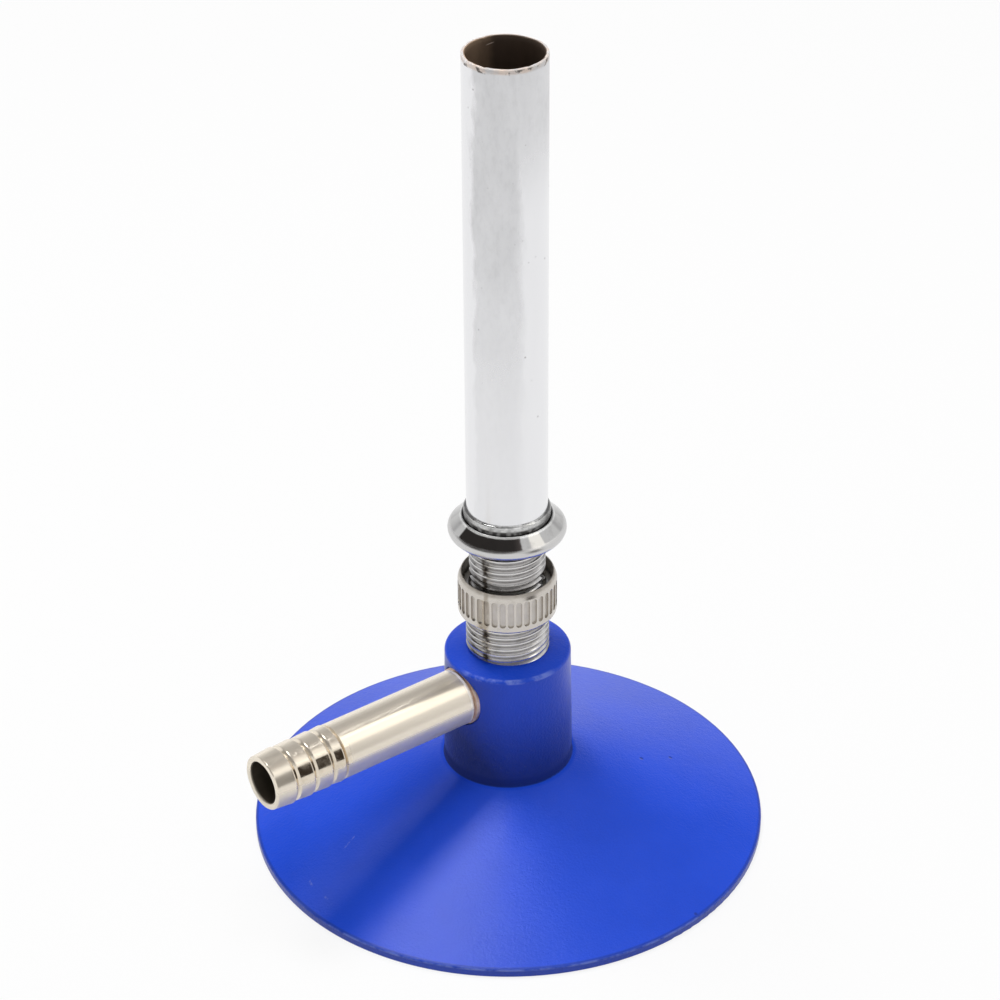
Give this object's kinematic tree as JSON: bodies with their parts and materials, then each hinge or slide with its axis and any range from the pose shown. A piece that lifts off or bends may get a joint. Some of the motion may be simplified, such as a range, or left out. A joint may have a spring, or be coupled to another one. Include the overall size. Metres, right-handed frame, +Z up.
{
  "type": "bunsen burner",
  "caption": "Bunsen burner: hollow conical base, barbed hose nozzle, threaded air stem, knurled cup nut that screws up to shut off the air, and a plain straight barrel.",
  "frame": {"origin": "centre of the circle the base stands on, on the burner's axis", "axes": "+Z up along the barrel; -X out along the hose nozzle; +Y completes the right-handed set"},
  "size_m": [0.0906, 0.0848, 0.1392],
  "materials": {
    "blue_paint": "gloss",
    "bright_plate": "polished",
    "satin_nickel": "satin",
    "warm_nickel": "polished",
    "brass": "satin",
    "copper": "satin",
    "fibre": "matte"
  },
  "bodies": {
    "burner": {"base": "blue_paint", "stem_washer": "fibre", "air_stem": "bright_plate", "gas_jet": "brass", "barrel_collar": "bright_plate", "barrel": "bright_plate", "hose_nozzle": "warm_nickel", "nozzle_washer": "copper"},
    "cup_washer": {"cup_washer": "bright_plate"},
    "air_nut": {"air_nut": "satin_nickel"}
  },
  "joints": [
    {"name": "air_nut_lift", "type": "slide", "parent": "burner", "child": "cup_washer", "axis": [0, 0, 1], "range_m": [0, 0.0065]},
    {"name": "air_nut_turn", "type": "hinge", "parent": "cup_washer", "child": "air_nut", "pos_m": [0, 0, 0.045], "axis": [0, 0, 1], "range_deg": [0, 2124]}
  ],
  "couplings": [
    {"joint": "air_nut_lift", "follows": "air_nut_turn", "m_per_rad": 0.00017507}
  ]
}
